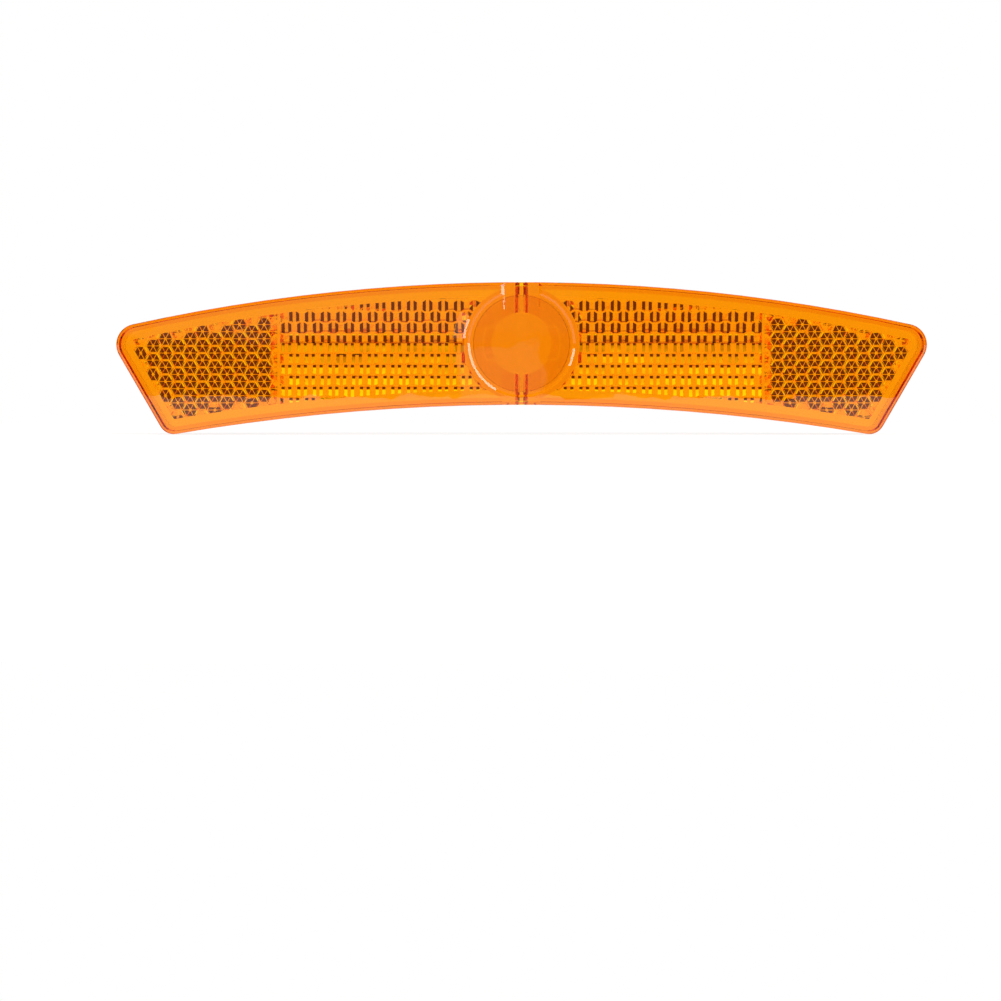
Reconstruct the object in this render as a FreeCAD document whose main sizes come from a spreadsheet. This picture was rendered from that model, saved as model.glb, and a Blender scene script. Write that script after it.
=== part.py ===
import FreeCAD, Part
import math
import os

import Sketcher
from FreeCAD import Placement, Rotation, Vector

# Bicycle spoke reflector: an arched strip of clear amber acrylic that rides on one spoke.
# +X is the length, +Z points out along the spoke, the front face looks towards -Y.
# The origin is the middle of the spoke's seat, on the joint plane of the two lenses.

doc = FreeCAD.newDocument("spoke_reflector")

# Driving dimensions in millimetres and degrees
sheet = doc.addObject("Spreadsheet::Sheet", "dims")
DIMENSIONS = [
    ("overall_length", 125.0, "tip to tip across the arch"),
    ("strip_width", 18.9, "height of the strip at the hub"),
    ("top_edge_radius", 280.0, "arc of the outer edge"),
    ("bottom_edge_radius", 318.0, "arc of the inner edge"),
    ("end_slant", 60.0, "angle of the two ends"),
    ("upper_corner_radius", 3.2, "rounding of the upper corners"),
    ("lower_corner_radius", 2.4, "rounding of the lower corners"),
    ("least_corner", 0.3, "smallest rounding inside the walls"),
    ("body_depth", 9.0, "front face to rear face"),
    ("face_wall", 1.6, "thickness of each lens face"),
    ("rim_wall", 1.1, "thickness of the rim round the prisms"),
    ("edge_bevel", 0.45, "bevel of the outer edges"),
    ("lap_width", 0.55, "outer step of the welded lap joint"),
    ("lap_height", 1.2, "height of the lap joint's tongue"),
    ("weld_gap", 0.05, "clearance beside the tongue"),
    ("prism_border", 2.3, "smooth band round the prism fields"),
    ("insert_offset", 0.1, "how far the prism inserts sit from the hub's middle"),
    ("divider_middle", 37.4, "insert middle to the middle of each divider"),
    ("divider_width", 0.4, "smooth bar between the two kinds of prism"),
    ("hexagon_width", 2.2, "corner cube across its flats"),
    ("hexagon_start", 39.67, "insert middle to the nearest whole column"),
    ("hexagon_lift", 0.73, "height of a cell centre above the spoke seat's middle"),
    ("rear_hexagon_width", 3.0, "corner cube of the rear lens across its flats"),
    ("roof_pitch", 2.42, "width of one roof prism"),
    ("roof_crest", 0.52, "flat along the top of a roof prism"),
    ("roof_trough", 0.88, "flat between two roof prisms"),
    ("roof_row", 1.69, "height of one row of roof prisms"),
    ("low_tilt", 15.0, "climb of the ridges in the lower rows"),
    ("roof_split", 0.05, "height at which the roof prisms change sides"),
    ("spoke_diameter", 2.0, "spoke that the seat takes"),
    ("channel_width", 6.0, "wide channel behind the spoke"),
    ("hub_inner_radius", 7.65, "well that the lock cap turns in"),
    ("hub_wall", 1.25, "wall round that well"),
    ("cup_floor", 1.0, "floor of the hub's cup, behind the front lens"),
    ("plate_thickness", 1.0, "plate that the lock's lugs hold under"),
    ("keyhole_radius", 4.8, "round part of the plate's opening"),
    ("keyhole_reach", 6.05, "far ends of the opening's bar"),
    ("keyhole_height", 5.2, "height of the opening's bar"),
    ("lock_clearance", 0.15, "lock cap to lens all round"),
    ("lock_gap", 0.05, "lock cap to plate and spoke, along its axis"),
    ("lock_head", 1.2, "thickness of the lock cap's head"),
    ("lug_thickness", 0.95, "thickness of the lock's lugs"),
    ("lock_travel", 110.0, "turn from open to hard against its stop"),
    ("coin_slot_width", 1.6, "slot that a coin turns"),
    ("coin_slot_length", 11.0, "slot that a coin turns"),
    ("coin_slot_depth", 0.7, "slot that a coin turns"),
    ("ridge_height", 0.15, "detent ridges and ledges under the plate"),
    ("ridge_width", 0.4, "one detent ridge"),
    ("ridge_start", 92.0, "first detent ridge"),
    ("ridge_sweep", 45.0, "first to last detent ridge"),
    ("ledge_start", 27.0, "smooth ledge that the lug slides under first"),
    ("ledge_end", 82.0, "end of the smooth ledge"),
    ("stop_width", 1.0, "ribs that end the lock's turn"),
]
for row, (alias, value, meaning) in enumerate(DIMENSIONS, start=1):
    sheet.set(f"A{row}", alias)
    sheet.set(f"B{row}", str(value))
    sheet.set(f"C{row}", meaning)
    sheet.setAlias(f"B{row}", alias)
doc.recompute()
size = {alias: float(sheet.get(alias)) for alias, value, meaning in DIMENSIONS}

RIDGES = 5

# Levels along Y, measured towards the rear from the joint plane
half_depth = size["body_depth"] / 2
wall_level = half_depth - size["face_wall"]
spoke_radius = size["spoke_diameter"] / 2
lug_level = spoke_radius + size["lock_gap"]
ridge_level = lug_level + size["lug_thickness"] + size["lock_gap"]
plate_level = ridge_level + size["ridge_height"]
cup_radius = size["hub_inner_radius"] + size["hub_wall"]
prism_root = size["face_wall"] / 4
HALF_DEPTH = "(dims.body_depth / 2)"
WALL_LEVEL = "(dims.body_depth / 2 - dims.face_wall)"
LUG_LEVEL = "(dims.spoke_diameter / 2 + dims.lock_gap)"
RIDGE_LEVEL = f"({LUG_LEVEL} + dims.lug_thickness + dims.lock_gap)"
PLATE_LEVEL = f"({RIDGE_LEVEL} + dims.ridge_height)"
SEAT_LEVEL = f"({PLATE_LEVEL} + dims.plate_thickness)"
HEAD_LEVEL = f"({SEAT_LEVEL} + dims.lock_gap)"
CUP_LEVEL = "(dims.weld_gap - dims.body_depth / 2 + dims.face_wall)"
CUP_RADIUS = "(dims.hub_inner_radius + dims.hub_wall)"
INNER_CUT = "(dims.rim_wall + dims.weld_gap)"


def plane(body, role):
    """Origin plane of a body."""
    return next(item for item in body.Origin.OriginFeatures if item.Role == role)


def new_body(name):
    body = doc.addObject("PartDesign::Body", name)
    body.Label = name
    return body


def new_sketch(body, name, role="XZ_Plane", level=None):
    """Sketch on an origin plane, or at a level behind the joint plane."""
    sketch = body.newObject("Sketcher::SketchObject", name)
    sketch.AttachmentSupport = [(plane(body, role), "")]
    sketch.MapMode = "FlatFace"
    if level:
        sketch.setExpression("AttachmentOffset.Base.z", f"-{level}")
    doc.recompute()
    return sketch


def drive(sketch, constraint, name, expression):
    """Add a constraint and bind its value to the sheet."""
    index = sketch.addConstraint(constraint)
    sketch.renameConstraint(index, name)
    sketch.setExpression(f"Constraints.{name}", expression)


def corner_centre(upper, inset, radius):
    """Centre of a rounded corner at the right-hand end of an inset outline."""
    slant = math.radians(size["end_slant"])
    top_middle = size["strip_width"] / 2 - size["top_edge_radius"]
    bottom_middle = -size["strip_width"] / 2 - size["bottom_edge_radius"]
    rounding = size["upper_corner_radius"]
    tip = size["overall_length"] / 2 - rounding
    tip_height = top_middle + math.sqrt((size["top_edge_radius"] - rounding) ** 2 - tip ** 2)
    reach = math.sin(slant) * tip - math.cos(slant) * tip_height + rounding
    normal = Vector(math.sin(slant), -math.cos(slant), 0)
    along = Vector(math.cos(slant), math.sin(slant), 0)
    foot = normal * (reach - inset - radius)
    if upper:
        middle = Vector(0, top_middle, 0)
        distance = size["top_edge_radius"] - inset - radius
    else:
        middle = Vector(0, bottom_middle, 0)
        distance = size["bottom_edge_radius"] + inset + radius
    gap = foot - middle
    half = gap.dot(along)
    step = -half + math.sqrt(half ** 2 - gap.dot(gap) + distance ** 2)
    return foot + along * step, middle, normal


def outline_edges(inset):
    """The eight edges of the arched outline, clockwise from the top arc, seen from the front."""
    upper_radius = max(size["upper_corner_radius"] - inset, size["least_corner"])
    lower_radius = max(size["lower_corner_radius"] - inset, size["least_corner"])
    upper, top_middle, normal = corner_centre(True, inset, upper_radius)
    lower, bottom_middle, normal = corner_centre(False, inset, lower_radius)
    top_radius = size["top_edge_radius"] - inset
    bottom_radius = size["bottom_edge_radius"] + inset

    def arc(middle, radius, start, end):
        circle = Part.Circle(middle, Vector(0, 0, 1), radius)
        return Part.ArcOfCircle(circle, start, end)

    def flip(point):
        return Vector(-point.x, point.y, 0)

    full = 2 * math.pi
    end_angle = math.atan2(normal.y, normal.x)
    top_angle = math.atan2(upper.y - top_middle.y, upper.x)
    bottom_angle = math.atan2(lower.y - bottom_middle.y, lower.x)
    end_top = upper + normal * upper_radius
    end_foot = lower + normal * lower_radius
    return [
        arc(top_middle, top_radius, top_angle, math.pi - top_angle),
        arc(upper, upper_radius, end_angle, top_angle),
        Part.LineSegment(end_top, end_foot),
        arc(lower, lower_radius, bottom_angle - math.pi, end_angle),
        arc(bottom_middle, bottom_radius, bottom_angle, math.pi - bottom_angle),
        arc(flip(lower), lower_radius, math.pi - end_angle, full - bottom_angle),
        Part.LineSegment(flip(end_foot), flip(end_top)),
        arc(flip(upper), upper_radius, math.pi - top_angle, math.pi - end_angle),
    ]


CORNER_X = "(dims.overall_length / 2 - dims.upper_corner_radius)"
CORNER_Z = (
    "(dims.strip_width / 2 - dims.top_edge_radius"
    f" + sqrt((dims.top_edge_radius - dims.upper_corner_radius)^2 - {CORNER_X}^2))"
)
END_REACH = (
    f"(sin(dims.end_slant) * {CORNER_X} - cos(dims.end_slant) * {CORNER_Z}"
    " + dims.upper_corner_radius)"
)


def draw_outline(sketch, inset=0.0, inset_expression="0"):
    """Draw the arched outline, constrained from the sheet."""
    edges = [sketch.addGeometry(edge) for edge in outline_edges(inset)]
    top, corner, end, heel, bottom, left_heel, left_end, left_corner = edges
    joins = [
        (top, 1, corner, 2), (corner, 1, end, 1), (end, 2, heel, 2), (heel, 1, bottom, 1),
        (bottom, 2, left_heel, 2), (left_heel, 1, left_end, 1),
        (left_end, 2, left_corner, 2), (left_corner, 1, top, 2),
    ]
    for join in joins:
        sketch.addConstraint(Sketcher.Constraint("Tangent", *join))
    for arc in (top, bottom):
        sketch.addConstraint(Sketcher.Constraint("PointOnObject", arc, 3, -2))
    cut = inset_expression
    radii = [
        (top, f"dims.top_edge_radius - {cut}"),
        (bottom, f"dims.bottom_edge_radius + {cut}"),
        (corner, f"max(dims.upper_corner_radius - {cut}; dims.least_corner)"),
        (heel, f"max(dims.lower_corner_radius - {cut}; dims.least_corner)"),
        (left_corner, f"max(dims.upper_corner_radius - {cut}; dims.least_corner)"),
        (left_heel, f"max(dims.lower_corner_radius - {cut}; dims.least_corner)"),
    ]
    for arc, expression in radii:
        radius = sketch.Geometry[arc].Radius
        drive(sketch, Sketcher.Constraint("Radius", arc, radius), f"radius_{arc}", expression)
    for arc, expression in [
        (top, "dims.top_edge_radius - dims.strip_width / 2"),
        (bottom, "dims.bottom_edge_radius + dims.strip_width / 2"),
    ]:
        depth = -sketch.Geometry[arc].Center.y
        constraint = Sketcher.Constraint("DistanceY", arc, 3, -1, 1, depth)
        drive(sketch, constraint, f"middle_{arc}", expression)
    slant = math.radians(size["end_slant"])
    line = sketch.Geometry[end]
    reach = math.sin(slant) * line.StartPoint.x - math.cos(slant) * line.StartPoint.y
    for edge, angle in [(end, slant - math.pi), (left_end, math.pi - slant)]:
        sign = "dims.end_slant - 180" if edge == end else "180 - dims.end_slant"
        drive(sketch, Sketcher.Constraint("Angle", edge, angle), f"slant_{edge}", sign)
        constraint = Sketcher.Constraint("Distance", -1, 1, edge, reach)
        drive(sketch, constraint, f"reach_{edge}", f"{END_REACH} - {cut}")


def draw_circle(sketch, radius, expression):
    """Draw a circle round the hub."""
    circle = Part.Circle(Vector(0, 0, 0), Vector(0, 0, 1), radius)
    index = sketch.addGeometry(circle)
    sketch.addConstraint(Sketcher.Constraint("Coincident", index, 3, -1, 1))
    drive(sketch, Sketcher.Constraint("Radius", index, radius), f"round_{index}", expression)
    return index


def draw_box(sketch, low, high, names):
    """Draw a rectangle; names give the expressions of its left, right, bottom and top."""
    corners = [(low[0], low[1]), (high[0], low[1]), (high[0], high[1]), (low[0], high[1])]
    points = [Vector(x, y, 0) for x, y in corners]
    lines = [
        sketch.addGeometry(Part.LineSegment(points[i], points[(i + 1) % 4])) for i in range(4)
    ]
    for i in range(4):
        join = (lines[i], 2, lines[(i + 1) % 4], 1)
        sketch.addConstraint(Sketcher.Constraint("Coincident", *join))
    for i, kind in enumerate(("Horizontal", "Vertical", "Horizontal", "Vertical")):
        sketch.addConstraint(Sketcher.Constraint(kind, lines[i]))
    left, right, bottom, top = names
    for name, kind, point, value, expression in [
        ("left", "DistanceX", 1, low[0], left),
        ("right", "DistanceX", 2, high[0], right),
        ("bottom", "DistanceY", 1, low[1], bottom),
    ]:
        constraint = Sketcher.Constraint(kind, -1, 1, lines[0], point, value)
        drive(sketch, constraint, f"{name}_{lines[0]}", expression)
    constraint = Sketcher.Constraint("DistanceY", -1, 1, lines[2], 1, high[1])
    drive(sketch, constraint, f"top_{lines[0]}", top)


def pad(body, sketch, length, towards_rear=False):
    feature = body.newObject("PartDesign::Pad", f"{sketch.Name}_pad")
    feature.Profile = sketch
    feature.Reversed = towards_rear
    feature.setExpression("Length", length)
    doc.recompute()
    return feature


def pocket(body, sketch, length=None, towards_rear=False, room_only=False):
    """Cut a sketch away; without a length it cuts through everything both ways.

    A cut that only makes room may find nothing in its way.
    """
    before = body.Shape.Volume
    feature = body.newObject("PartDesign::Pocket", f"{sketch.Name}_pocket")
    feature.Profile = sketch
    if length:
        feature.Reversed = not towards_rear
        feature.setExpression("Length", length)
    else:
        feature.Type = "ThroughAll"
        feature.Midplane = True
    doc.recompute()
    if not room_only and body.Shape.Volume > before - 1e-3:
        raise RuntimeError(f"{feature.Name} cuts nothing")
    return feature


def bevel_face(body, feature, level, amount):
    """Bevel the outer edges of the face at a level behind the joint plane."""
    names = []
    for number, edge in enumerate(feature.Shape.Edges, start=1):
        box = edge.BoundBox
        if abs(box.YMin - level) < 1e-6 and abs(box.YMax - level) < 1e-6:
            names.append(f"Edge{number}")
    bevel = body.newObject("PartDesign::Chamfer", f"{feature.Name}_bevel")
    bevel.Base = (feature, names)
    bevel.setExpression("Size", amount)
    doc.recompute()


def lens_shell(name, rear):
    """Half of the body: face wall, rim, and the wall round the hub's well."""
    body = new_body(f"{name}_shell")
    outer = new_sketch(body, f"{name}_outline")
    draw_outline(outer)
    block = pad(body, outer, HALF_DEPTH, rear)
    bevel_face(body, block, half_depth if rear else -half_depth, "dims.edge_bevel")
    inner = new_sketch(body, f"{name}_cavity")
    draw_outline(inner, size["rim_wall"], "dims.rim_wall")
    pocket(body, inner, WALL_LEVEL, rear)
    return body


def front_shell():
    """Front half: carries the tongue of the lap joint and makes room for the hub's cup."""
    body = lens_shell("front_lens", False)
    tongue = new_sketch(body, "lap_tongue")
    draw_outline(tongue, size["lap_width"] + size["weld_gap"], "(dims.lap_width + dims.weld_gap)")
    draw_outline(tongue, size["rim_wall"], "dims.rim_wall")
    pad(body, tongue, "dims.lap_height", True)
    room = new_sketch(body, "cup_room", level="dims.lap_height")
    draw_circle(room, cup_radius + size["weld_gap"], f"{CUP_RADIUS} + dims.weld_gap")
    pocket(body, room, f"{WALL_LEVEL} + dims.lap_height", room_only=True)
    cut_spoke_groove(body, "front_groove", room_only=True)
    return body


def cut_spoke_groove(body, name, room_only=False):
    """U-shaped groove for the spoke, open to the rear and cut from edge to edge.

    The front half has its wall there only where the hub's cup leaves one.
    """
    sketch = new_sketch(body, name, "XY_Plane")
    radius = spoke_radius
    top = half_depth + radius
    circle = Part.Circle(Vector(0, 0, 0), Vector(0, 0, 1), radius)
    arc = sketch.addGeometry(Part.ArcOfCircle(circle, math.pi, 2 * math.pi))
    ends = [Vector(radius, 0, 0), Vector(radius, top, 0), Vector(-radius, top, 0), Vector(-radius, 0, 0)]
    lines = [sketch.addGeometry(Part.LineSegment(ends[i], ends[i + 1])) for i in range(3)]
    sketch.addConstraint(Sketcher.Constraint("Coincident", arc, 3, -1, 1))
    sketch.addConstraint(Sketcher.Constraint("Tangent", arc, 2, lines[0], 1))
    sketch.addConstraint(Sketcher.Constraint("Coincident", lines[0], 2, lines[1], 1))
    sketch.addConstraint(Sketcher.Constraint("Coincident", lines[1], 2, lines[2], 1))
    sketch.addConstraint(Sketcher.Constraint("Tangent", lines[2], 2, arc, 1))
    sketch.addConstraint(Sketcher.Constraint("Vertical", lines[0]))
    sketch.addConstraint(Sketcher.Constraint("Vertical", lines[2]))
    sketch.addConstraint(Sketcher.Constraint("Horizontal", lines[1]))
    drive(sketch, Sketcher.Constraint("Radius", arc, radius), "seat", "dims.spoke_diameter / 2")
    constraint = Sketcher.Constraint("DistanceY", -1, 1, lines[1], 1, top)
    drive(sketch, constraint, "mouth", f"{HALF_DEPTH} + dims.spoke_diameter / 2")
    pocket(body, sketch, room_only=room_only)


def draw_keyhole(sketch, disc, reach, height, cut):
    """Disc with a bar across it whose ends are arcs; cut is an expression taken off all round."""
    half = height / 2
    end_angle = math.asin(half / reach)
    disc_angle = math.asin(half / disc)
    middle = Vector(0, 0, 0)
    big = Part.Circle(middle, Vector(0, 0, 1), reach)
    small = Part.Circle(middle, Vector(0, 0, 1), disc)

    def point(radius, angle):
        return Vector(radius * math.cos(angle), radius * math.sin(angle), 0)

    right = sketch.addGeometry(Part.ArcOfCircle(big, -end_angle, end_angle))
    upper = sketch.addGeometry(Part.ArcOfCircle(small, disc_angle, math.pi - disc_angle))
    left = sketch.addGeometry(Part.ArcOfCircle(big, math.pi - end_angle, math.pi + end_angle))
    lower = sketch.addGeometry(
        Part.ArcOfCircle(small, math.pi + disc_angle, 2 * math.pi - disc_angle)
    )
    flats = []
    for start, end in [
        (point(reach, end_angle), point(disc, disc_angle)),
        (point(disc, math.pi - disc_angle), point(reach, math.pi - end_angle)),
        (point(reach, math.pi + end_angle), point(disc, math.pi + disc_angle)),
        (point(disc, -disc_angle), point(reach, -end_angle)),
    ]:
        flats.append(sketch.addGeometry(Part.LineSegment(start, end)))
    for join in [
        (right, 2, flats[0], 1), (flats[0], 2, upper, 1), (upper, 2, flats[1], 1),
        (flats[1], 2, left, 1), (left, 2, flats[2], 1), (flats[2], 2, lower, 1),
        (lower, 2, flats[3], 1), (flats[3], 2, right, 1),
    ]:
        sketch.addConstraint(Sketcher.Constraint("Coincident", *join))
    for flat in flats:
        sketch.addConstraint(Sketcher.Constraint("Horizontal", flat))
    for arc, radius, name, expression in [
        (right, reach, "reach", f"dims.keyhole_reach - {cut}"),
        (left, reach, "far_reach", f"dims.keyhole_reach - {cut}"),
        (upper, disc, "disc", f"dims.keyhole_radius - {cut}"),
        (lower, disc, "lower_disc", f"dims.keyhole_radius - {cut}"),
    ]:
        sketch.addConstraint(Sketcher.Constraint("Coincident", arc, 3, -1, 1))
        drive(sketch, Sketcher.Constraint("Radius", arc, radius), name, expression)
    for flat, sign in zip(flats, (1, 1, -1, -1)):
        constraint = Sketcher.Constraint("DistanceY", -1, 1, flat, 1, sign * half)
        drive(sketch, constraint, f"flat_{flat}", f"{sign} * (dims.keyhole_height / 2 - {cut})")


def polygon_sketch(sketch, polygons):
    """Closed polygons, held where they are drawn."""
    for points in polygons:
        count = len(points)
        lines = []
        for i in range(count):
            line = Part.LineSegment(Vector(*points[i], 0), Vector(*points[(i + 1) % count], 0))
            lines.append(sketch.addGeometry(line))
        for i in range(count):
            join = (lines[i], 2, lines[(i + 1) % count], 1)
            sketch.addConstraint(Sketcher.Constraint("Coincident", *join))
        for line in lines:
            sketch.addConstraint(Sketcher.Constraint("Block", line))


def turned(points, angle):
    """Points turned about the hub by an angle in degrees."""
    turn = math.radians(angle)
    return [
        (x * math.cos(turn) - z * math.sin(turn), x * math.sin(turn) + z * math.cos(turn))
        for x, z in points
    ]


def rear_shell():
    """Rear half: the lap joint's step, the lock's well, plate, keyhole, detents and stops."""
    body = lens_shell("rear_lens", True)
    step = new_sketch(body, "lap_step")
    draw_outline(step, size["lap_width"], "dims.lap_width")
    draw_outline(step, size["rim_wall"] + size["weld_gap"], INNER_CUT)
    pocket(body, step, "(dims.lap_height + dims.weld_gap)", True)

    ring = new_sketch(body, "hub_cup", level=CUP_LEVEL)
    draw_circle(ring, size["hub_inner_radius"], "dims.hub_inner_radius")
    draw_circle(ring, cup_radius, CUP_RADIUS)
    pad(body, ring, f"{WALL_LEVEL} - {CUP_LEVEL}", True)
    overlap = size["hub_inner_radius"] + size["hub_wall"] / 2
    OVERLAP = "(dims.hub_inner_radius + dims.hub_wall / 2)"
    floor = new_sketch(body, "cup_floor", level=CUP_LEVEL)
    draw_circle(floor, overlap, OVERLAP)
    pad(body, floor, "dims.cup_floor", True)
    saddle = new_sketch(body, "spoke_saddles")
    half = size["channel_width"] / 2
    tall = math.sqrt(overlap ** 2 - half ** 2)
    TALL = f"sqrt({OVERLAP}^2 - dims.channel_width^2 / 4)"
    sides = ("-dims.channel_width / 2", "dims.channel_width / 2", f"-{TALL}", TALL)
    draw_box(saddle, (-half, -tall), (half, tall), sides)
    pad(body, saddle, f"-{CUP_LEVEL}")
    window = new_sketch(body, "hub_window")
    draw_circle(window, size["keyhole_radius"], "dims.keyhole_radius")
    pocket(body, window, f"-{CUP_LEVEL} - dims.cup_floor")
    plate = new_sketch(body, "lock_plate", level=PLATE_LEVEL)
    draw_circle(plate, overlap, OVERLAP)
    pad(body, plate, "dims.plate_thickness", True)
    well = new_sketch(body, "lock_well", level=SEAT_LEVEL)
    draw_circle(well, size["hub_inner_radius"], "dims.hub_inner_radius")
    pocket(body, well, HALF_DEPTH, True)

    inner = size["keyhole_radius"] + size["weld_gap"]
    outer = overlap
    half = size["ridge_width"] / 2
    rib = [(inner, -half), (outer, -half), (outer, half), (inner, half)]
    ridges = new_sketch(body, "detent_ridges", level=RIDGE_LEVEL)
    start = size["ridge_start"]
    polygon_sketch(ridges, [turned(rib, start), turned(rib, start + 180)])
    first = pad(body, ridges, "dims.ridge_height + dims.plate_thickness / 2", True)
    rest = body.newObject("PartDesign::PolarPattern", "detent_pattern")
    rest.Originals = [first]
    rest.Axis = (ridges, ["N_Axis"])
    rest.Occurrences = RIDGES
    rest.setExpression("Angle", "dims.ridge_sweep")
    body.Tip = rest
    doc.recompute()

    ledges = new_sketch(body, "smooth_ledges", level=RIDGE_LEVEL)
    for side in (0, 180):
        draw_sector(ledges, inner, outer, size["ledge_start"] + side, size["ledge_end"] + side)
    pad(body, ledges, "dims.ridge_height + dims.plate_thickness / 2", True)

    stops = new_sketch(body, "lock_stops", level=LUG_LEVEL)
    near = size["keyhole_height"] / 2
    far = near + size["stop_width"]
    reach = math.sqrt(outer ** 2 - far ** 2)
    inside = math.sqrt(size["keyhole_reach"] ** 2 - near ** 2) - size["stop_width"]
    home = [(inside, -far), (reach, -far), (reach, -near), (inside, -near)]
    end = [(inside, near), (reach, near), (reach, far), (inside, far)]
    travel = size["lock_travel"]
    for turn in (0, 180):
        polygon_sketch(stops, [turned(home, turn)])
    pad(body, stops, f"{PLATE_LEVEL} - {LUG_LEVEL} + dims.plate_thickness / 2", True)
    ends = new_sketch(body, "travel_stops", level=LUG_LEVEL)
    for turn in (travel, travel + 180):
        polygon_sketch(ends, [turned(end, turn)])
    pad(body, ends, f"{PLATE_LEVEL} - {LUG_LEVEL} + dims.plate_thickness / 2", True)

    keyhole = new_sketch(body, "keyhole", level=HALF_DEPTH)
    reach, disc = size["keyhole_reach"], size["keyhole_radius"]
    draw_keyhole(keyhole, disc, reach, size["keyhole_height"], "0")
    pocket(body, keyhole, HALF_DEPTH, False)

    channel = new_sketch(body, "spoke_channel", "XY_Plane")
    half = size["channel_width"] / 2
    floor = plate_level + size["plate_thickness"]
    sides = ("-dims.channel_width / 2", "dims.channel_width / 2", SEAT_LEVEL, "dims.body_depth")
    draw_box(channel, (-half, floor), (half, size["body_depth"]), sides)
    pocket(body, channel)
    cut_spoke_groove(body, "rear_groove")
    return body


def draw_sector(sketch, inner, outer, start, end):
    """Ring sector round the hub, held where it is drawn."""
    first, last = math.radians(start), math.radians(end)
    axis = Vector(0, 0, 1)
    middle = Vector(0, 0, 0)

    def point(radius, angle):
        return Vector(radius * math.cos(angle), radius * math.sin(angle), 0)

    far = sketch.addGeometry(Part.ArcOfCircle(Part.Circle(middle, axis, outer), first, last))
    near = sketch.addGeometry(Part.ArcOfCircle(Part.Circle(middle, axis, inner), first, last))
    open_end = sketch.addGeometry(Part.LineSegment(point(inner, first), point(outer, first)))
    shut_end = sketch.addGeometry(Part.LineSegment(point(outer, last), point(inner, last)))
    for join in [(open_end, 2, far, 1), (far, 2, shut_end, 1), (shut_end, 2, near, 2),
                 (near, 1, open_end, 1)]:
        sketch.addConstraint(Sketcher.Constraint("Coincident", *join))
    for edge in (far, near, open_end, shut_end):
        sketch.addConstraint(Sketcher.Constraint("Block", edge))


def lock_cap():
    """Quarter-turn cap: head with a coin slot, stem through the keyhole, two lugs."""
    body = new_body("lock_cap")
    clearance = size["lock_clearance"]
    head = new_sketch(body, "lock_head", level=HEAD_LEVEL)
    draw_circle(head, size["hub_inner_radius"] - clearance,
                "dims.hub_inner_radius - dims.lock_clearance")
    disc = pad(body, head, "dims.lock_head", True)
    top = plate_level + size["plate_thickness"] + size["lock_gap"] + size["lock_head"]
    bevel_face(body, disc, top, "dims.lock_head / 4")
    stem = new_sketch(body, "lock_stem", level=LUG_LEVEL)
    draw_circle(stem, size["keyhole_radius"] - clearance,
                "dims.keyhole_radius - dims.lock_clearance")
    pad(body, stem, f"{HEAD_LEVEL} - {LUG_LEVEL}", True)
    lugs = new_sketch(body, "lock_lugs", level=LUG_LEVEL)
    reach = size["keyhole_reach"] - clearance
    disc = size["keyhole_radius"] - clearance
    height = size["keyhole_height"] - 2 * clearance
    draw_keyhole(lugs, disc, reach, height, "dims.lock_clearance")
    pad(body, lugs, "dims.lug_thickness", True)
    coin = new_sketch(body, "coin_slot", level=f"({HEAD_LEVEL} + dims.lock_head)")
    half_width = size["coin_slot_width"] / 2
    half_length = size["coin_slot_length"] / 2
    sides = ("-dims.coin_slot_width / 2", "dims.coin_slot_width / 2",
             "-dims.coin_slot_length / 2", "dims.coin_slot_length / 2")
    draw_box(coin, (-half_width, -half_length), (half_width, half_length), sides)
    pocket(body, coin, "dims.coin_slot_depth", False)
    return body


def flat_face(corners):
    return Part.Face(Part.makePolygon(corners + corners[:1]))


def corner_cubes(width, start, lift, columns):
    """Full corner cubes with hexagonal outlines, in columns that run out to the left.

    Each cell is three square faces that meet at a peak. The outline's corners lie in turn at
    the wall and half way up. The field stands on Z = 0 with its peaks towards +Z.
    """
    rise = width / math.sqrt(6)
    side = width / math.sqrt(3)
    column_step = 1.5 * side
    rows = math.ceil(size["strip_width"] / width) + 1
    faces = []
    borders = {}
    for column in columns:
        middle = -(start + column * column_step)
        shift = width / 2 if column % 2 else 0.0
        for row in range(-rows, rows):
            height = lift + shift + row * width
            ring = []
            for k in range(6):
                angle = math.radians(60 * k)
                x = round(middle + side * math.cos(angle), 6)
                y = round(height + side * math.sin(angle), 6)
                ring.append(Vector(x, y, rise if k % 2 else 0.0))
            peak = Vector(middle, height, 2 * rise)
            for k in (1, 3, 5):
                faces.append(flat_face([peak, ring[k], ring[(k + 1) % 6], ring[(k + 2) % 6]]))
            for k in range(6):
                pair = (ring[k], ring[(k + 1) % 6])
                key = frozenset((round(point.x, 4), round(point.y, 4)) for point in pair)
                borders[key] = None if key in borders else pair
    foot = []
    for start, end in filter(None, borders.values()):
        low_start = Vector(start.x, start.y, -prism_root)
        low_end = Vector(end.x, end.y, -prism_root)
        faces.append(flat_face([low_start, low_end, end, start]))
        foot.append(Part.LineSegment(low_start, low_end).toShape())
    faces.append(Part.Face(Part.Wire(Part.__sortEdges__(foot))))
    return Part.Solid(Part.Shell(faces))


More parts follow.
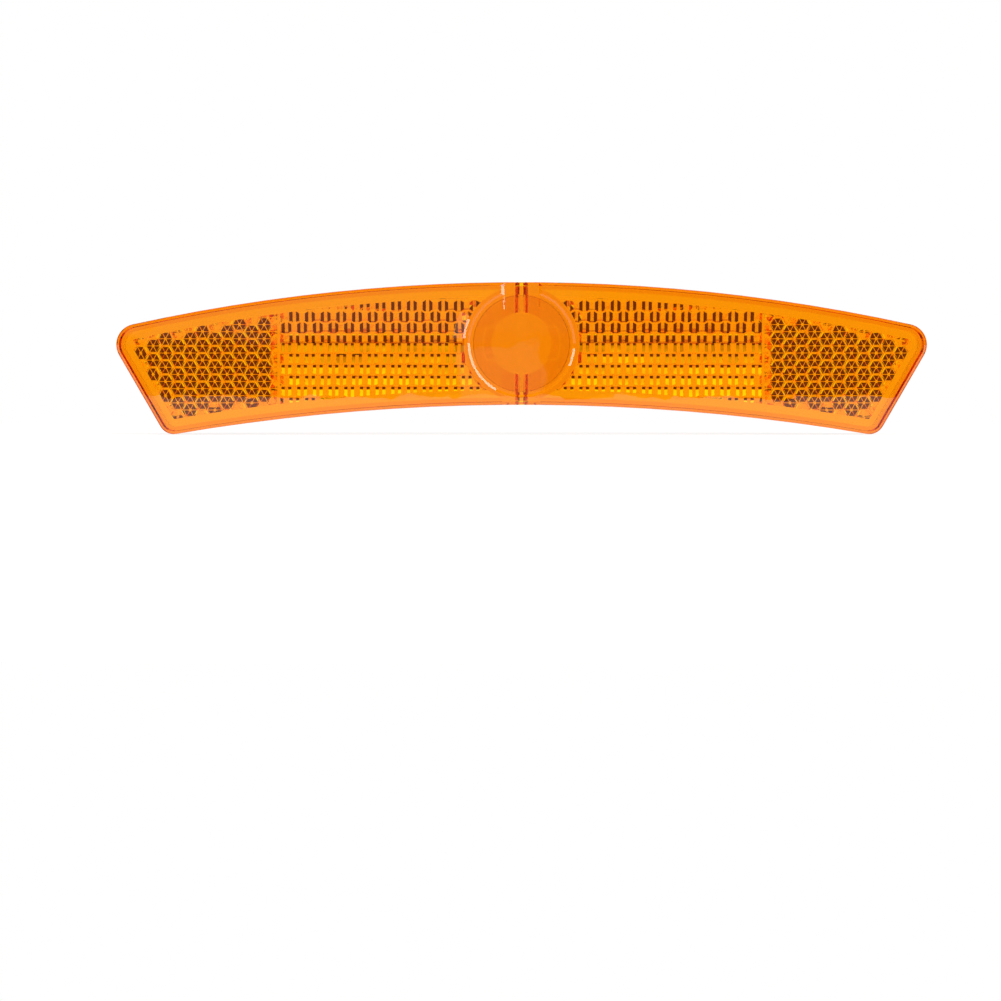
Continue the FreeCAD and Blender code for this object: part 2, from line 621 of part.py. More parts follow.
def roof_plates(first, count, side, tilt):
    """Rows of roof prisms, built as the tool for them is: a stack of tilted notched plates.

    Each plate's top is a row of right-angled notches, flat along the crests and the troughs.
    The flank of the plate beside it is the third face of each corner. Side is 1 where the
    ridges climb upwards and -1 where they fall; tilt is their climb in radians.
    """
    pitch = size["roof_pitch"]
    crest = size["roof_crest"] / 2
    trough = size["roof_trough"] / 2
    depth = pitch / 2 - crest - trough
    row_height = size["roof_row"]
    prisms = 2 * math.ceil(size["divider_middle"] / pitch) + 2
    along = Vector(0, side * math.cos(tilt), math.sin(tilt))
    upward = Vector(0, -side * math.sin(tilt), math.cos(tilt))
    plates = []
    for number in range(first, first + count):
        shift = pitch / 2 if number % 2 else 0.0
        left = shift - prisms * pitch / 2
        low = number * row_height if side > 0 else (number + 1) * row_height
        origin = Vector(0, size["roof_split"] + low, depth * math.cos(tilt))
        section = [(left, -2 * pitch), (left, -depth)]
        for prism in range(prisms):
            ridge = left + (prism + 0.5) * pitch
            section.append((ridge - crest - depth, -depth))
            section.append((ridge - crest, 0.0))
            section.append((ridge + crest, 0.0))
            section.append((ridge + crest + depth, -depth))
        right = left + prisms * pitch
        section.extend([(right, -depth), (right, -2 * pitch)])
        corners = [origin + Vector(x, 0, 0) + upward * v for x, v in section]
        plates.append(flat_face(corners).extrude(along * row_height * math.cos(tilt)))
    return plates[0].multiFuse(plates[1:])


def prism_region(hub_radius, left, right, low, high):
    """Room for one prism field: the outline's smooth border and the hub left out."""
    edges = [edge.toShape() for edge in outline_edges(size["prism_border"])]
    plate = Part.Face(Part.Wire(Part.__sortEdges__(edges)))
    room = plate.extrude(Vector(0, 0, prism_root + 2 * size["hexagon_width"]))
    hub = Part.makeCylinder(hub_radius, 4 * size["hexagon_width"])
    room = room.cut(hub)
    room.translate(Vector(0, 0, -prism_root))
    corner = Vector(left, low, -prism_root)
    box = Part.makeBox(right - left, high - low, 4 * size["hexagon_width"], corner)
    return room.common(box)


def column_count(width, start):
    """Columns of corner cubes that reach from a start to the strip's end."""
    return math.ceil((size["overall_length"] / 2 - start) / (width * math.sqrt(3) / 2)) + 1


def front_fields():
    """The four prism fields of the front lens, drawn flat with their peaks towards -Z."""
    hub_radius = cup_radius + size["weld_gap"]
    offset = -size["insert_offset"]
    far = size["overall_length"]
    inner = size["divider_middle"] - size["divider_width"] / 2
    outer = size["divider_middle"] + size["divider_width"] / 2
    split = size["roof_split"]
    width = size["hexagon_width"]
    start = size["hexagon_start"]
    columns = range(-2, column_count(width, start))
    cubes = corner_cubes(width, start, size["hexagon_lift"], columns)
    cubes.translate(Vector(offset, 0, 0))
    mirrored = cubes.mirror(Vector(offset, 0, 0), Vector(1, 0, 0))
    rows = math.ceil(size["strip_width"] / size["roof_row"])
    corner_tilt = math.asin(1 / math.sqrt(3))
    upper = roof_plates(-1, rows, -1, corner_tilt)
    lower = roof_plates(-rows, rows + 1, 1, math.radians(size["low_tilt"]))
    fields = [
        cubes.common(prism_region(hub_radius, -far, offset - outer, -far, far)),
        mirrored.common(prism_region(hub_radius, offset + outer, far, -far, far)),
        upper.common(prism_region(hub_radius, offset - inner, offset + inner, split, far)),
        lower.common(prism_region(hub_radius, offset - inner, offset + inner, -far, split)),
    ]
    return fields[0].multiFuse(fields[1:]).mirror(Vector(0, 0, 0), Vector(0, 0, 1))


def rear_field():
    """Corner cubes all over the rear lens, drawn flat with their peaks towards -Z."""
    far = size["overall_length"]
    width = size["rear_hexagon_width"]
    reach = column_count(width, 0.0)
    cubes = corner_cubes(width, 0.0, 0.0, range(-reach, reach + 1))
    field = cubes.common(prism_region(cup_radius - size["hub_wall"] / 2, -far, far, -far, far))
    return field.mirror(Vector(0, 0, 0), Vector(0, 0, 1))


def prism_feature(name, shape, rear):
    """Prism fields stood on the inside of a face wall."""
    feature = doc.addObject("Part::Feature", name)
    feature.Shape = shape
    upright = Rotation(Vector(1, 0, 0), 90)
    turned_round = Rotation(Vector(0, 0, 1), 180)
    if rear:
        feature.Placement = Placement(Vector(0, wall_level, 0), turned_round * upright)
    else:
        feature.Placement = Placement(Vector(0, -wall_level, 0), upright)
    return feature


def lens(name, shell, prisms):
    """One moulding: the shell and the prisms on the inside of its face."""
    whole = doc.addObject("Part::MultiFuse", name)
    whole.Shapes = [shell, prisms]
    whole.Label = name
    return whole


front_lens = lens("front_lens", front_shell(), prism_feature("front_prisms", front_fields(), False))
rear_lens = lens("rear_lens", rear_shell(), prism_feature("rear_prisms", rear_field(), True))
lock = lock_cap()
doc.recompute()

nodes = [front_lens, rear_lens, lock]
for item in doc.Objects:
    if "Invalid" in item.State or "Error" in item.State:
        raise RuntimeError(f"{item.Name} failed: {item.State}")
os.makedirs("parts", exist_ok=True)
for node in nodes:
    if node.Shape.isNull() or not node.Shape.isValid():
        raise RuntimeError(f"{node.Label} has no valid shape")
    if len(node.Shape.Solids) != 1:
        raise RuntimeError(f"{node.Label} is not one solid")
    node.Shape.exportStep(f"parts/{node.Label}.step")
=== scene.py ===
import math

import bmesh
import bpy
from mathutils import Matrix, Vector


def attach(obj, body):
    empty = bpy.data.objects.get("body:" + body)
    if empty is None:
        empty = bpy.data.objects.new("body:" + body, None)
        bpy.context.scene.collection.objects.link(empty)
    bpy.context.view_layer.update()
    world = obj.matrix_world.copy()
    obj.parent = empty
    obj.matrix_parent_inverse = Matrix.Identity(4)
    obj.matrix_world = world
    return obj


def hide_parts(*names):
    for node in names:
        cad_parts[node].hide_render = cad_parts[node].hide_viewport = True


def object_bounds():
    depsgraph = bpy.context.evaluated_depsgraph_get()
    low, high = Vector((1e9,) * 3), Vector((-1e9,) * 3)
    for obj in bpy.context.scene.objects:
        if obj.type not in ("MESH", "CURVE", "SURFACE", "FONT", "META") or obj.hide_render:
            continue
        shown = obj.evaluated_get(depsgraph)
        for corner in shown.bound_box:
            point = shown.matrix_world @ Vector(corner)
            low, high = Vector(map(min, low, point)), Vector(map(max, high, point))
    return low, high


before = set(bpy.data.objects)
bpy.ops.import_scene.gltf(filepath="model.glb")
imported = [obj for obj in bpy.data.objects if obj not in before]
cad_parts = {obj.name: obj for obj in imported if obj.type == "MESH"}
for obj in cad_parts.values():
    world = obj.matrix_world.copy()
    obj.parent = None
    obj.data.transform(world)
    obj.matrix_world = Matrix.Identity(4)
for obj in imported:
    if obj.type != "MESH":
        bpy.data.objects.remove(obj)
MM = 0.001
cad_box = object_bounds()
low = Vector(cad_box[0])
scene = bpy.context.scene
scene.view_settings.view_transform = "Standard"

# Light goes through four walls and turns three times in each prism, so the paths are long.
scene.cycles.max_bounces = 32
scene.cycles.transmission_bounces = 24
scene.cycles.glossy_bounces = 16


def linear(code):
    """sRGB hex colour as linear RGBA."""
    channels = [int(code[i:i + 2], 16) / 255 for i in (0, 2, 4)]
    return (*[c / 12.92 if c <= 0.04045 else ((c + 0.055) / 1.055) ** 2.4 for c in channels], 1.0)


def grey(level):
    """A neutral colour at a linear level."""
    return (level, level, level, 1)


def add(tree, kind, links=(), **settings):
    """Add a node; settings named in_X set the input X, links join (input, source socket)."""
    node = tree.nodes.new(kind)
    for name, value in settings.items():
        if name.startswith("in_"):
            key = name[3:].replace("_", " ")
            node.inputs[int(key) if key.isdigit() else key].default_value = value
        else:
            setattr(node, name, value)
    for socket, source in links:
        tree.links.new(source, node.inputs[socket])
    return node


def stops(ramp, listed):
    """Set a colour ramp's stops from (position, colour) pairs."""
    while len(ramp.elements) < len(listed):
        ramp.elements.new(0.5)
    for element, (position, colour) in zip(ramp.elements, listed):
        element.position = position
        element.color = colour


def new_material(name):
    """An empty material."""
    material = bpy.data.materials.new(name)
    material.use_nodes = True
    material.node_tree.nodes.clear()
    return material


# Camera: straight at the front face, a little above it, at the photograph's scale
PHOTO_SIZE = 1001
PHOTO_SCALE = 0.1549 * MM
HUB_PIXEL = (521, 343)
LENS_LENGTH = 200.0
SENSOR = 36.0
PITCH = math.radians(1.6)
FAR_CLIP = 20
camera_data = bpy.data.cameras.new("camera")
camera_data.lens = LENS_LENGTH
camera_data.sensor_width = SENSOR
camera_data.clip_end = FAR_CLIP
camera = bpy.data.objects.new("camera", camera_data)
scene.collection.objects.link(camera)
scene.camera = camera
distance = PHOTO_SIZE * PHOTO_SCALE * LENS_LENGTH / SENSOR
middle = (PHOTO_SIZE - 1) / 2
aside = (HUB_PIXEL[0] - middle) * PHOTO_SCALE
above = (middle - HUB_PIXEL[1]) * PHOTO_SCALE
camera.rotation_euler = (math.pi / 2 - PITCH, 0, 0)
camera.location = camera.rotation_euler.to_matrix() @ Vector((-aside, -above, distance))

# World: reflections and light through the acrylic see pale walls all round, save a dim room in
# front; the camera sees white. A pair of numbers says where a change starts and where it is full,
# as a part of the ray's direction.
BACKDROP = 1.12
ROOM_SHADE = (0.16, 0.05, 0.02, 1)
ROOM_CONE = (0.74, 0.88)
PANEL_LEVEL = 1.55
PANEL_FADED = (0.62, 0.4, 0.3, 1)
PANEL_FROM = (0, -0.667, 0.745)
PANEL_CONE = (0.9, 0.97)
PANEL_FADE = (0.7455, 0.7375)
DIM = (0.17, 0.08, 0.05, 1)
VEIL = (0.5, 0.42, 0.4, 1)
FRONT_CONE = (0.9, 0.99)
HAZE_UP = (0.0, 0.003)
HAZE_LEFT = (0.02, -0.03)
HUB_ACROSS = (0.0075, 0.0068)
HUB_DOWN = (0.0004, -0.0004)
FOOT_DOWN = (-0.0095, -0.0108)
POOL_LEVEL = 1.15
POOL_EDGE = (0.0115, 0.009)
POOL_BEHIND = 0.9
world = bpy.data.worlds.new("studio")
scene.world = world
world.use_nodes = True
tree = world.node_tree
tree.nodes.clear()
ray = add(tree, "ShaderNodeLightPath").outputs
direction = add(tree, "ShaderNodeTexCoord").outputs["Generated"]
parts = add(tree, "ShaderNodeSeparateXYZ", [(0, direction)]).outputs
forward = add(tree, "ShaderNodeMath", [(0, parts["Y"])], operation="MULTIPLY", in_1=-1.0)
# the dim room, which only light that the prisms have turned can see
turned = add(tree, "ShaderNodeMath", [(0, ray["Glossy Depth"])], operation="GREATER_THAN", in_1=0.5)
sent_back = add(tree, "ShaderNodeMath", [(0, forward.outputs[0]), (1, turned.outputs[0])],
                operation="MULTIPLY")
room = add(tree, "ShaderNodeValToRGB", [(0, sent_back.outputs[0])])
stops(room.color_ramp, [(0.0, grey(BACKDROP)), (ROOM_CONE[0], grey(BACKDROP)),
                        (ROOM_CONE[1], ROOM_SHADE)])
# a panel above the front, which the lower rows of prisms catch
panel = add(tree, "ShaderNodeVectorMath", [(0, direction)], operation="DOT_PRODUCT", in_1=PANEL_FROM)
lit = add(tree, "ShaderNodeMapRange", [(0, panel.outputs["Value"])],
          in_1=PANEL_CONE[0], in_2=PANEL_CONE[1])
fades = add(tree, "ShaderNodeMapRange", [(0, parts["Z"])], in_1=PANEL_FADE[0], in_2=PANEL_FADE[1])
glow = add(tree, "ShaderNodeValToRGB", [(0, fades.outputs[0])])
stops(glow.color_ramp, [(0.0, PANEL_FADED), (1.0, grey(PANEL_LEVEL))])
with_panel = add(tree, "ShaderNodeMix", [(0, lit.outputs[0]), (6, room.outputs[0]),
                                         (7, glow.outputs[0])], data_type="RGBA")
# what a surface's own gloss sends back: dim, with a pale haze above on the left, and pale patches
# in the lower half of the hub's window and at the foot
front = add(tree, "ShaderNodeMapRange", [(0, forward.outputs[0])],
            in_1=FRONT_CONE[0], in_2=FRONT_CONE[1])
up = add(tree, "ShaderNodeMapRange", [(0, parts["Z"])], in_1=HAZE_UP[0], in_2=HAZE_UP[1])
left = add(tree, "ShaderNodeMapRange", [(0, parts["X"])], in_1=HAZE_LEFT[0], in_2=HAZE_LEFT[1])
corner = add(tree, "ShaderNodeMath", [(0, up.outputs[0]), (1, left.outputs[0])], operation="MULTIPLY")
haze = add(tree, "ShaderNodeMath", [(0, corner.outputs[0]), (1, front.outputs[0])],
           operation="MULTIPLY")
across = add(tree, "ShaderNodeMath", [(0, parts["X"])], operation="ABSOLUTE")
narrow = add(tree, "ShaderNodeMapRange", [(0, across.outputs[0])],
             in_1=HUB_ACROSS[0], in_2=HUB_ACROSS[1])
down = add(tree, "ShaderNodeMapRange", [(0, parts["Z"])], in_1=HUB_DOWN[0], in_2=HUB_DOWN[1])
hub_veil = add(tree, "ShaderNodeMath", [(0, narrow.outputs[0]), (1, down.outputs[0])],
               operation="MULTIPLY")
foot_veil = add(tree, "ShaderNodeMapRange", [(0, parts["Z"])], in_1=FOOT_DOWN[0], in_2=FOOT_DOWN[1])
both = add(tree, "ShaderNodeMath", [(0, hub_veil.outputs[0]), (1, foot_veil.outputs[0])],
           operation="MAXIMUM")
facing = add(tree, "ShaderNodeMath", [(0, both.outputs[0]), (1, front.outputs[0])],
             operation="MULTIPLY")
veils = add(tree, "ShaderNodeMath", [(0, haze.outputs[0]), (1, facing.outputs[0])],
            operation="MAXIMUM")
reflected = add(tree, "ShaderNodeMix", [(0, veils.outputs[0])], data_type="RGBA", in_6=DIM, in_7=VEIL)
is_mirrored = add(tree, "ShaderNodeMath", [(0, ray["Is Glossy Ray"]), (1, ray["Is Transmission Ray"])],
                  operation="SUBTRACT", use_clamp=True)
hazy = add(tree, "ShaderNodeMix", [(0, is_mirrored.outputs[0]), (6, with_panel.outputs[2]),
                                   (7, reflected.outputs[2])], data_type="RGBA")
# a pool of light on the wall behind the hub
flat = add(tree, "ShaderNodeVectorMath", [(0, direction)], operation="MULTIPLY", in_1=(1, 0, 1))
away = add(tree, "ShaderNodeVectorMath", [(0, flat.outputs[0])], operation="LENGTH")
pool = add(tree, "ShaderNodeMapRange", [(0, away.outputs["Value"])],
           in_1=POOL_EDGE[0], in_2=POOL_EDGE[1])
back = add(tree, "ShaderNodeMath", [(0, parts["Y"])], operation="GREATER_THAN", in_1=POOL_BEHIND)
spot = add(tree, "ShaderNodeMath", [(0, pool.outputs[0]), (1, back.outputs[0])], operation="MULTIPLY")
surroundings = add(tree, "ShaderNodeMix", [(0, spot.outputs[0]), (6, hazy.outputs[2])],
                   data_type="RGBA", in_7=grey(POOL_LEVEL))
shown = add(tree, "ShaderNodeMix", [(0, ray["Is Camera Ray"]), (6, surroundings.outputs[2])],
            data_type="RGBA", in_7=grey(1))
light = add(tree, "ShaderNodeBackground", [(0, shown.outputs[2])])
add(tree, "ShaderNodeOutputWorld", [(0, light.outputs[0])])

# Floor: matt pale card that fades into the white behind it and keeps a soft shadow under the
# foot. Seen through the acrylic it is as bright as the walls.
FLOOR_HALF = 1.5
FLOOR_FRONT = -0.62
FLOOR_BACK = 0.1
FLOOR_GAP = 0.05 * MM
CARD_GLOW = 1.04
CARD_FADE = 0.75
floor_mesh = bpy.data.meshes.new("floor")
shape = bmesh.new()
bmesh.ops.create_grid(shape, x_segments=1, y_segments=1, size=FLOOR_HALF,
                      matrix=Matrix.Translation((0, (FLOOR_FRONT + FLOOR_BACK) / 2, low.z - FLOOR_GAP))
                      @ Matrix.Diagonal((1, (FLOOR_BACK - FLOOR_FRONT) / 2 / FLOOR_HALF, 1, 1)))
shape.to_mesh(floor_mesh)
shape.free()
floor = bpy.data.objects.new("floor", floor_mesh)
scene.collection.objects.link(floor)
card = new_material("pale_card")
tree = card.node_tree
matt = add(tree, "ShaderNodeBsdfDiffuse", in_Color=linear("F0F0F0"))
glow = add(tree, "ShaderNodeEmission", in_Color=grey(1), in_Strength=CARD_GLOW)
pale = add(tree, "ShaderNodeMixShader", [(1, matt.outputs[0]), (2, glow.outputs[0])], in_0=CARD_FADE)
wall = add(tree, "ShaderNodeEmission", in_Color=grey(1), in_Strength=BACKDROP)
seen = add(tree, "ShaderNodeLightPath").outputs["Is Camera Ray"]
shown = add(tree, "ShaderNodeMixShader", [(0, seen), (1, wall.outputs[0]), (2, pale.outputs[0])])
add(tree, "ShaderNodeOutputMaterial", [(0, shown.outputs[0])])
floor_mesh.materials.append(card)

# Clear amber acrylic, injection moulded and polished: red passes, green fades within a few
# millimetres and blue is gone at once, so thick places look deeper than thin ones. Slow waves of
# its flow bend what shows through it, and its polish is a little uneven.
HUB_EDGE = 7.6 * MM
HUB_FADE = 0.1 * MM
PLATE_LEVEL = 0.1 * MM
FLOW_LIFT = 0.005 * MM
WEAR_SIZE = 0.6 * MM
WEAR_SEEN = (0.4, 0.8)
DULLEST = 0.02
ACRYLIC_IOR = 1.49
BODY_DENSITY = 1000.0


def amber_acrylic(name, tint, plate_tint, body, wave):
    """Acrylic with a tint of its skin, another at the lock plate, and the body's own colour."""
    material = new_material(name)
    tree = material.node_tree
    place = add(tree, "ShaderNodeTexCoord").outputs["Object"]
    flow = add(tree, "ShaderNodeTexNoise", [("Vector", place)], in_Scale=1 / wave, in_Detail=1.5)
    relief = add(tree, "ShaderNodeBump", [("Height", flow.outputs[0])], in_Strength=1.0,
                 in_Distance=FLOW_LIFT)
    wear = add(tree, "ShaderNodeTexNoise", [("Vector", place)], in_Scale=1 / WEAR_SIZE, in_Detail=2.0)
    polish = add(tree, "ShaderNodeMapRange", [("Value", wear.outputs[0])], in_From_Min=WEAR_SEEN[0],
                 in_From_Max=WEAR_SEEN[1], in_To_Min=0.0, in_To_Max=DULLEST)
    flat = add(tree, "ShaderNodeVectorMath", [(0, place)], operation="MULTIPLY", in_1=(1, 0, 1))
    radius = add(tree, "ShaderNodeVectorMath", [(0, flat.outputs[0])], operation="LENGTH")
    inside = add(tree, "ShaderNodeMapRange", [(0, radius.outputs["Value"])],
                 in_1=HUB_EDGE + HUB_FADE, in_2=HUB_EDGE)
    depth = add(tree, "ShaderNodeSeparateXYZ", [(0, place)]).outputs["Y"]
    behind = add(tree, "ShaderNodeMath", [(0, depth)], operation="GREATER_THAN", in_1=PLATE_LEVEL)
    plate = add(tree, "ShaderNodeMath", [(0, behind.outputs[0]), (1, inside.outputs[0])],
                operation="MULTIPLY")
    skin = add(tree, "ShaderNodeMix", [(0, plate.outputs[0])], data_type="RGBA", in_6=linear(tint),
               in_7=linear(plate_tint))
    glass = add(tree, "ShaderNodeBsdfPrincipled",
                [("Normal", relief.outputs[0]), ("Roughness", polish.outputs[0]),
                 ("Base Color", skin.outputs[2])], in_IOR=ACRYLIC_IOR, in_Transmission_Weight=1.0)
    filling = add(tree, "ShaderNodeVolumeAbsorption", in_Color=linear(body), in_Density=BODY_DENSITY)
    add(tree, "ShaderNodeOutputMaterial", [("Surface", glass.outputs[0]), ("Volume", filling.outputs[0])])
    return material


# The lenses' acrylic is a full amber, and paler where the lock plate lies behind the hub.
lens_acrylic = amber_acrylic("amber_acrylic_lens", "FFC900", "FFF440", "FEFA00", wave=5.0 * MM)
# The cap's acrylic is a pale amber that lets the plate's colour through, with closer flow waves.
cap_acrylic = amber_acrylic("amber_acrylic_cap", "FFF080", "FFF080", "FEFC60", wave=3.0 * MM)

NEAR = 1e-6
WELD = 1e-7
SMOOTH_BELOW = math.radians(6.0)


def as_moulding(shape, name, material):
    """The shape as a visible piece, smooth across its rounded edges."""
    mesh = bpy.data.meshes.new(name + "_moulding")
    shape.to_mesh(mesh)
    shape.free()
    for layer in [a for a in mesh.attributes if a.name in ("custom_normal", "sharp_edge", "sharp_face")]:
        mesh.attributes.remove(layer)
    mesh.shade_smooth()
    mesh.set_sharp_from_angle(angle=SMOOTH_BELOW)
    mesh.materials.append(material)
    piece = bpy.data.objects.new(name + "_moulding", mesh)
    scene.collection.objects.link(piece)
    return piece


# Hub relief on the front face: a shallow dish with a sloping bank, the spoke channel above it and
# an arc beside its ring. All but the face's level is in mm, and depths count from the face inwards.
FACE_LEVEL = low.y
BANK_ANGLE = math.radians(31)
BANK = 0.36
BANK_DROP = BANK * math.tan(BANK_ANGLE)
ABOVE = -0.3
DISH_RADIUS = 8.3
DISH_SIDES = 144
CHANNEL_HALF = 3.15
CHANNEL_DEPTH = 0.3
CHANNEL_START = 5.3
CHANNEL_LENGTH = 6
ARC_INSIDE = 8.75
ARC_OUTSIDE = 10.6
ARC_START = math.radians(152)
ARC_SWEEP = math.radians(30)
ARC_STEPS = 12


def section(listed):
    """A flat cross-section at the hub's middle, from (across, depth) pairs."""
    shape = bmesh.new()
    shape.faces.new([shape.verts.new((across * MM, FACE_LEVEL + depth * MM, 0))
                     for across, depth in listed])
    return shape


def hub_relief():
    """The dish, the channel and the arc, as shapes to cut away."""
    dish = bmesh.new()
    spread = ABOVE / math.tan(BANK_ANGLE)
    bmesh.ops.create_cone(dish, cap_ends=True, segments=DISH_SIDES, radius1=(DISH_RADIUS - spread) * MM,
                          radius2=(DISH_RADIUS - BANK) * MM, depth=(BANK_DROP - ABOVE) * MM,
                          matrix=Matrix.Translation((0, FACE_LEVEL + (BANK_DROP + ABOVE) / 2 * MM, 0))
                          @ Matrix.Rotation(-math.pi / 2, 4, "X"))
    run = CHANNEL_DEPTH / math.tan(BANK_ANGLE)
    channel = section([(-CHANNEL_HALF - run, ABOVE), (-CHANNEL_HALF + run, CHANNEL_DEPTH),
                       (CHANNEL_HALF - run, CHANNEL_DEPTH), (CHANNEL_HALF + run, ABOVE)])
    bmesh.ops.translate(channel, vec=(0, 0, CHANNEL_START * MM), verts=channel.verts)
    grown = bmesh.ops.extrude_face_region(channel, geom=channel.faces[:])["geom"]
    bmesh.ops.translate(channel, vec=(0, 0, CHANNEL_LENGTH * MM),
                        verts=[item for item in grown if isinstance(item, bmesh.types.BMVert)])
    arc = section([(ARC_INSIDE, 0), (ARC_INSIDE + BANK, BANK_DROP), (ARC_OUTSIDE, 0),
                   (ARC_OUTSIDE, ABOVE), (ARC_INSIDE, ABOVE)])
    bmesh.ops.rotate(arc, cent=(0, 0, 0), matrix=Matrix.Rotation(-ARC_START, 3, "Y"), verts=arc.verts)
    bmesh.ops.spin(arc, geom=arc.faces[:] + arc.edges[:] + arc.verts[:], cent=(0, 0, 0),
                   axis=(0, -1, 0), angle=ARC_SWEEP, steps=ARC_STEPS, use_merge=False)
    return [dish, channel, arc]


def cut_by(mesh, cutters):
    """Subtract the cutters, each a bmesh, from a mesh."""
    body = bpy.data.objects.new("body", mesh)
    scene.collection.objects.link(body)
    tools = []
    for cutter in cutters:
        bmesh.ops.recalc_face_normals(cutter, faces=cutter.faces)
        data = bpy.data.meshes.new("cutter")
        cutter.to_mesh(data)
        cutter.free()
        tool = bpy.data.objects.new("cutter", data)
        scene.collection.objects.link(tool)
        tools.append(tool)
        step = body.modifiers.new("cut", "BOOLEAN")
        step.object = tool
        step.solver = "EXACT"
    graph = bpy.context.evaluated_depsgraph_get()
    result = bpy.data.meshes.new_from_object(body.evaluated_get(graph))
    for item in [body, *tools]:
        bpy.data.objects.remove(item)
    return result


# Lenses: copies of the solids with the prisms' edges rounded, as a moulding's are. The rear one's
# joint face stands back a little, so that the two don't share a plane.
JOINT_GAP = 0.02 * MM
WALL_LEVEL = 2.9 * MM
FLAT_BELOW = math.radians(0.3)
FRONT_CELL = 2.2 * MM
REAR_CELL = 3.0 * MM
FIELD_START = 37.4 * MM
SLANT = 1 / math.sqrt(3)
SLANT_PLAY = 0.005
CELL_TURN = math.radians(80)
CELL_EDGE_LEAST = 0.7 * MM
ROW_TURN = math.radians(15)
ROW_EDGE_LEAST = 0.1 * MM
ROW_UPRIGHT = 0.01
ROW_LEAN = (0.2, 0.6)
PEAK_CUT = 0.32 * MM
VALLEY_CUT = 0.24 * MM
RIDGE_CUT = 0.08 * MM
ROW_CUT = 0.2 * MM
LOW_ROW_CUT = 0.3 * MM


def is_cell(face, side):
    """A square face of a corner cube, which leans equally from the lens's own axis."""
    return abs(face.normal.y * side - SLANT) < SLANT_PLAY


def cell_edges(shape, side, start, concave):
    """Edges where two faces of corner cubes meet: their valleys or their ridges."""
    found = []
    for edge in shape.edges:
        if len(edge.link_faces) != 2 or edge.calc_length() < CELL_EDGE_LEAST:
            continue
        if min(abs(vertex.co.x) for vertex in edge.verts) < start:
            continue
        turn = edge.calc_face_angle_signed(0) * (-1 if concave else 1)
        if turn > CELL_TURN and all(is_cell(face, side) for face in edge.link_faces):
            found.append(edge)
    return found


def row_edges(shape, end):
    """Edges where a row of roof prisms meets the upright face of the next one."""
    found = []
    for edge in shape.edges:
        if len(edge.link_faces) != 2 or max(abs(vertex.co.x) for vertex in edge.verts) > end:
            continue
        if edge.calc_face_angle_signed(0) > -ROW_TURN or edge.calc_length() < ROW_EDGE_LEAST:
            continue
        if any(abs(face.normal.x) < ROW_UPRIGHT and ROW_LEAN[0] < face.normal.y < ROW_LEAN[1]
               for face in edge.link_faces):
            found.append(edge)
    return found


def is_upper(edge):
    """True for an edge above the spoke seat's middle."""
    return sum(vertex.co.z for vertex in edge.verts) > 0


def soften(shape, geometry, amount, segments, affect="EDGES"):
    """Round edges, or the corners at vertices, in the given number of facets."""
    bmesh.ops.bevel(shape, geom=geometry, offset=amount, offset_type="OFFSET", segments=segments,
                    profile=0.5, affect=affect, clamp_overlap=False, material=-1)


def moulded_lens(name, side, cell, start):
    """A lens with its prisms rounded: cells of the given width beyond the start, rows before it."""
    shape = bmesh.new()
    shape.from_mesh(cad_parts[name].data)
    bmesh.ops.remove_doubles(shape, verts=shape.verts, dist=WELD)
    bmesh.ops.dissolve_limit(shape, angle_limit=FLAT_BELOW, verts=shape.verts, edges=shape.edges,
                             use_dissolve_boundaries=False, delimit=set())
    if name == "front_lens":
        plain = bpy.data.meshes.new("plain")
        shape.to_mesh(plain)
        shape.clear()
        shape.from_mesh(cut_by(plain, hub_relief()))
    if name == "rear_lens":
        for vertex in shape.verts:
            if abs(vertex.co.y) < NEAR:
                vertex.co.y += JOINT_GAP
    rows = row_edges(shape, start)
    soften(shape, [edge for edge in rows if is_upper(edge)], ROW_CUT, 1)
    soften(shape, [edge for edge in rows if edge.is_valid and not is_upper(edge)], LOW_ROW_CUT, 1)
    # a corner cube is sqrt(2/3) as deep as its hexagon is wide
    peak = side * (2 * cell / math.sqrt(6) - WALL_LEVEL)
    peaks = [vertex for vertex in shape.verts if abs(vertex.co.y - peak) < NEAR
             and abs(vertex.co.x) > start and len(vertex.link_edges) == 3]
    soften(shape, peaks, PEAK_CUT, 1, "VERTICES")
    soften(shape, cell_edges(shape, side, start, True), VALLEY_CUT, 2)
    soften(shape, cell_edges(shape, side, start, False), RIDGE_CUT, 1)
    return as_moulding(shape, name, lens_acrylic)


for name, side, cell, start in [("front_lens", 1, FRONT_CELL, FIELD_START), ("rear_lens", -1, REAR_CELL, 0)]:
    piece = moulded_lens(name, side, cell, start)
    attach(piece, "reflector")
    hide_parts(name)

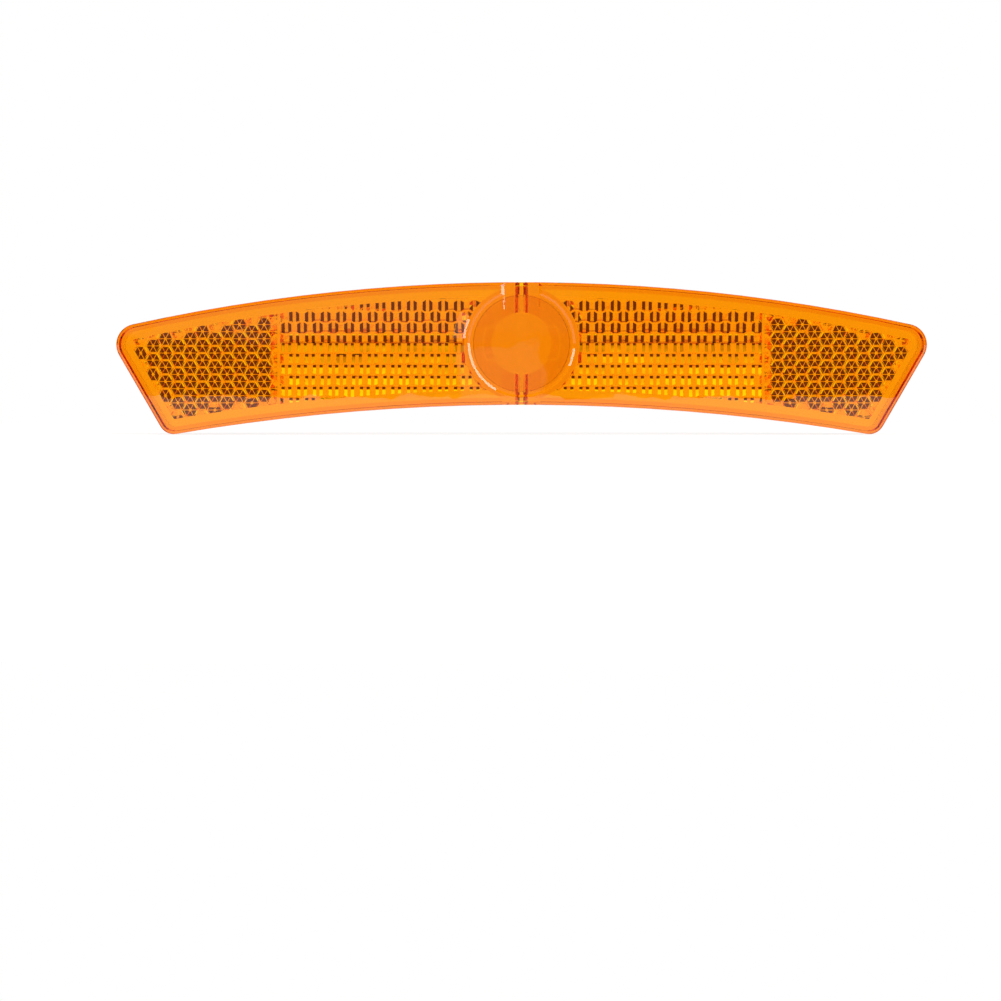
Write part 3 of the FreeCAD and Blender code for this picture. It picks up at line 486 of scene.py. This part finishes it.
# Lock cap: the bevel of its head drawn in to a moulding's narrow edge
HEAD_BEVEL = 0.3 * MM
EDGE_LEFT = 0.05 * MM
HEAD_BAND = 0.5 * MM
shape = bmesh.new()
shape.from_mesh(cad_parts["lock_cap"].data)
bmesh.ops.remove_doubles(shape, verts=shape.verts, dist=WELD)
head = max(vertex.co.y for vertex in shape.verts)
rim = max(math.hypot(vertex.co.x, vertex.co.z) for vertex in shape.verts if vertex.co.y > head - HEAD_BAND)
for vertex in shape.verts:
    out = math.hypot(vertex.co.x, vertex.co.z)
    if out > rim - HEAD_BEVEL - NEAR and vertex.co.y > head - NEAR:
        vertex.co.x *= (rim - EDGE_LEFT) / out
        vertex.co.z *= (rim - EDGE_LEFT) / out
    elif out > rim - NEAR and abs(vertex.co.y - (head - HEAD_BEVEL)) < NEAR:
        vertex.co.y = head - EDGE_LEFT
piece = as_moulding(shape, "lock_cap", cap_acrylic)
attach(piece, "lock")
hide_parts("lock_cap")

# Softboxes: the tall one gives the hub's white arcs and line, the other the pale arc beside its ring
LAMP_LEAN = math.radians(61)
LAMP_DISTANCE = 2.0
LAMP_WIDTH = 0.45


def softbox(name, azimuth, length, power):
    """A soft light that leans from the front, turned about the Y axis to the azimuth."""
    data = bpy.data.lights.new(name, "AREA")
    data.shape = "RECTANGLE"
    data.size = LAMP_WIDTH
    data.size_y = length
    data.energy = power
    lamp = bpy.data.objects.new(name, data)
    lamp.visible_transmission = False
    out = Vector((math.cos(azimuth) * math.sin(LAMP_LEAN), -math.cos(LAMP_LEAN),
                  math.sin(azimuth) * math.sin(LAMP_LEAN)))
    along = Vector((-math.sin(azimuth), 0, math.cos(azimuth)))
    axes = Matrix((along.cross(out), along, out)).transposed().to_4x4()
    lamp.matrix_world = Matrix.Translation(out * LAMP_DISTANCE) @ axes
    scene.collection.objects.link(lamp)


softbox("tall_softbox", azimuth=math.radians(29), length=2.1, power=26.0)
softbox("side_softbox", azimuth=math.radians(165), length=0.6, power=7.0)
